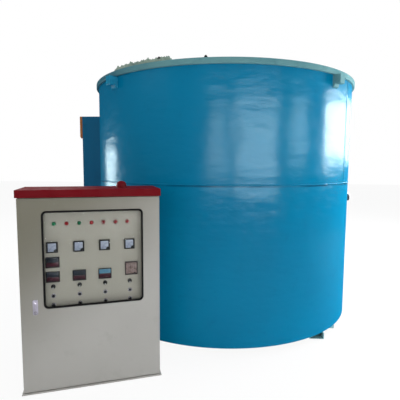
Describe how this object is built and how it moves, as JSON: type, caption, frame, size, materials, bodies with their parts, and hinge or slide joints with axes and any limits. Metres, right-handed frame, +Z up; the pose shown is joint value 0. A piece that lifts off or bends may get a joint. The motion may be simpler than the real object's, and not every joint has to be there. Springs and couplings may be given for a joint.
{
  "type": "pit furnace",
  "caption": "Round electric pit furnace: welded shell, brick lining, meander heating elements and a lift-off lid, with a free-standing control cabinet that has a windowed door.",
  "frame": {"origin": "on the furnace's axis at floor level, in the middle of the centre beam's underside", "axes": "+Z up along the furnace's axis, -Y the front, +X to the right seen from the front; the terminal box is on the -X side"},
  "size_m": [3.3457, 3.6316, 2.883],
  "materials": {
    "frame_paint": "matte",
    "blue_paint": "gloss",
    "flange_paint": "satin",
    "cabinet_paint": "satin",
    "cap_paint": "satin",
    "panel_paint": "satin",
    "fibre": "matte",
    "brick": "matte",
    "cast_iron": "matte",
    "element": "matte",
    "ceramic": "satin",
    "aluminium": "satin",
    "board": "satin",
    "steel": "satin",
    "red_lens": "gloss",
    "rubber": "matte",
    "glass": "gloss",
    "chrome": "polished",
    "meter_white": "gloss",
    "black_plastic": "satin",
    "recorder_plastic": "satin"
  },
  "bodies": {
    "furnace": {"base_frame": "frame_paint", "bottom_plate": "frame_paint", "shell": "blue_paint", "mouth_flange": "flange_paint", "lifting_lug_front_right": "blue_paint", "lifting_lug_rear_right": "blue_paint", "lifting_lug_rear_left": "blue_paint", "lifting_lug_front_left": "blue_paint", "wall_insulation": "fibre", "floor_bricks": "brick", "brick_lining": "brick", "hearth_plate": "cast_iron", "heating_element_lower": "element", "heating_element_middle": "element", "heating_element_upper": "element", "lead_block_lower": "ceramic", "lead_block_middle": "ceramic", "lead_block_upper": "ceramic", "thermocouple_lower": "aluminium", "thermocouple_middle": "aluminium", "thermocouple_upper": "aluminium", "terminal_box": "blue_paint", "terminal_board": "board", "lid_seal": "fibre", "cabinet_base": "cabinet_paint", "cabinet_body": "cabinet_paint", "cabinet_cap": "cap_paint", "cap_beacon": "red_lens", "instrument_panel": "panel_paint", "panel_meter_1": "meter_white", "panel_meter_2": "meter_white", "panel_meter_3": "meter_white", "panel_meter_4": "meter_white", "controller_1": "black_plastic", "controller_2": "black_plastic", "controller_3": "black_plastic", "controller_4": "black_plastic", "chart_recorder": "recorder_plastic"},
    "lid": {"lid_plate": "blue_paint", "lid_plug": "fibre", "lid_lifting_eye": "steel"},
    "terminal_cover": {"terminal_cover": "blue_paint"},
    "door": {"cabinet_door": "cabinet_paint", "window_gasket": "rubber", "window_glass": "glass", "lock_plate": "chrome"},
    "lock_spindle": {"lock_cam": "steel"},
    "lock_lever": {"lock_lever": "chrome"},
    "selector_1": {"selector_knob_1": "black_plastic"},
    "selector_2": {"selector_knob_2": "black_plastic"},
    "selector_3": {"selector_knob_3": "black_plastic"},
    "selector_4": {"selector_knob_4": "black_plastic"},
    "start_1": {"start_button_1": "black_plastic"},
    "start_2": {"start_button_2": "black_plastic"},
    "start_3": {"start_button_3": "black_plastic"},
    "start_4": {"start_button_4": "black_plastic"},
    "stop_1": {"stop_button_1": "black_plastic"},
    "stop_2": {"stop_button_2": "black_plastic"},
    "stop_3": {"stop_button_3": "black_plastic"},
    "stop_4": {"stop_button_4": "black_plastic"}
  },
  "joints": [
    {"name": "lid_lift", "type": "slide", "parent": "furnace", "child": "lid", "axis": [0, 0, 1], "range_m": [0, 0.6]},
    {"name": "door_swing", "type": "hinge", "parent": "furnace", "child": "door", "pos_m": [-0.49031, -1.78578, 0.014], "axis": [0, 0, 1], "range_deg": [0, 110]},
    {"name": "lock_turn", "type": "hinge", "parent": "door", "child": "lock_spindle", "pos_m": [-1.32906, -2.09858, 0.682], "axis": [-0.3305, 0.9438, 0], "range_deg": [0, 90]},
    {"name": "lever_tilt", "type": "hinge", "parent": "lock_spindle", "child": "lock_lever", "pos_m": [-1.32589, -2.10764, 0.682], "axis": [-0.9438, -0.3305, 0], "range_deg": [0, 35]},
    {"name": "terminal_cover_swing", "type": "hinge", "parent": "furnace", "child": "terminal_cover", "pos_m": [-1.687, 0.1883, 0.5797], "axis": [0, 0, -1], "range_deg": [0, 110]},
    {"name": "selector_turn_1", "type": "hinge", "parent": "furnace", "child": "selector_1", "pos_m": [-1.23328, -2.01206, 0.781], "axis": [0.3305, -0.9438, 0], "range_deg": [-45, 45]},
    {"name": "selector_turn_2", "type": "hinge", "parent": "furnace", "child": "selector_2", "pos_m": [-1.05836, -1.9508, 0.781], "axis": [0.3305, -0.9438, 0], "range_deg": [-45, 45]},
    {"name": "selector_turn_3", "type": "hinge", "parent": "furnace", "child": "selector_3", "pos_m": [-0.88344, -1.88955, 0.781], "axis": [0.3305, -0.9438, 0], "range_deg": [-45, 45]},
    {"name": "selector_turn_4", "type": "hinge", "parent": "furnace", "child": "selector_4", "pos_m": [-0.70852, -1.82829, 0.781], "axis": [0.3305, -0.9438, 0], "range_deg": [-45, 45]},
    {"name": "start_press_1", "type": "slide", "parent": "furnace", "child": "start_1", "axis": [-0.3305, 0.9438, 0], "range_m": [0, 0.004], "stiffness_N_per_m": 600},
    {"name": "start_press_2", "type": "slide", "parent": "furnace", "child": "start_2", "axis": [-0.3305, 0.9438, 0], "range_m": [0, 0.004], "stiffness_N_per_m": 600},
    {"name": "start_press_3", "type": "slide", "parent": "furnace", "child": "start_3", "axis": [-0.3305, 0.9438, 0], "range_m": [0, 0.004], "stiffness_N_per_m": 600},
    {"name": "start_press_4", "type": "slide", "parent": "furnace", "child": "start_4", "axis": [-0.3305, 0.9438, 0], "range_m": [0, 0.004], "stiffness_N_per_m": 600},
    {"name": "stop_press_1", "type": "slide", "parent": "furnace", "child": "stop_1", "axis": [-0.3305, 0.9438, 0], "range_m": [0, 0.004], "stiffness_N_per_m": 600},
    {"name": "stop_press_2", "type": "slide", "parent": "furnace", "child": "stop_2", "axis": [-0.3305, 0.9438, 0], "range_m": [0, 0.004], "stiffness_N_per_m": 600},
    {"name": "stop_press_3", "type": "slide", "parent": "furnace", "child": "stop_3", "axis": [-0.3305, 0.9438, 0], "range_m": [0, 0.004], "stiffness_N_per_m": 600},
    {"name": "stop_press_4", "type": "slide", "parent": "furnace", "child": "stop_4", "axis": [-0.3305, 0.9438, 0], "range_m": [0, 0.004], "stiffness_N_per_m": 600}
  ]
}
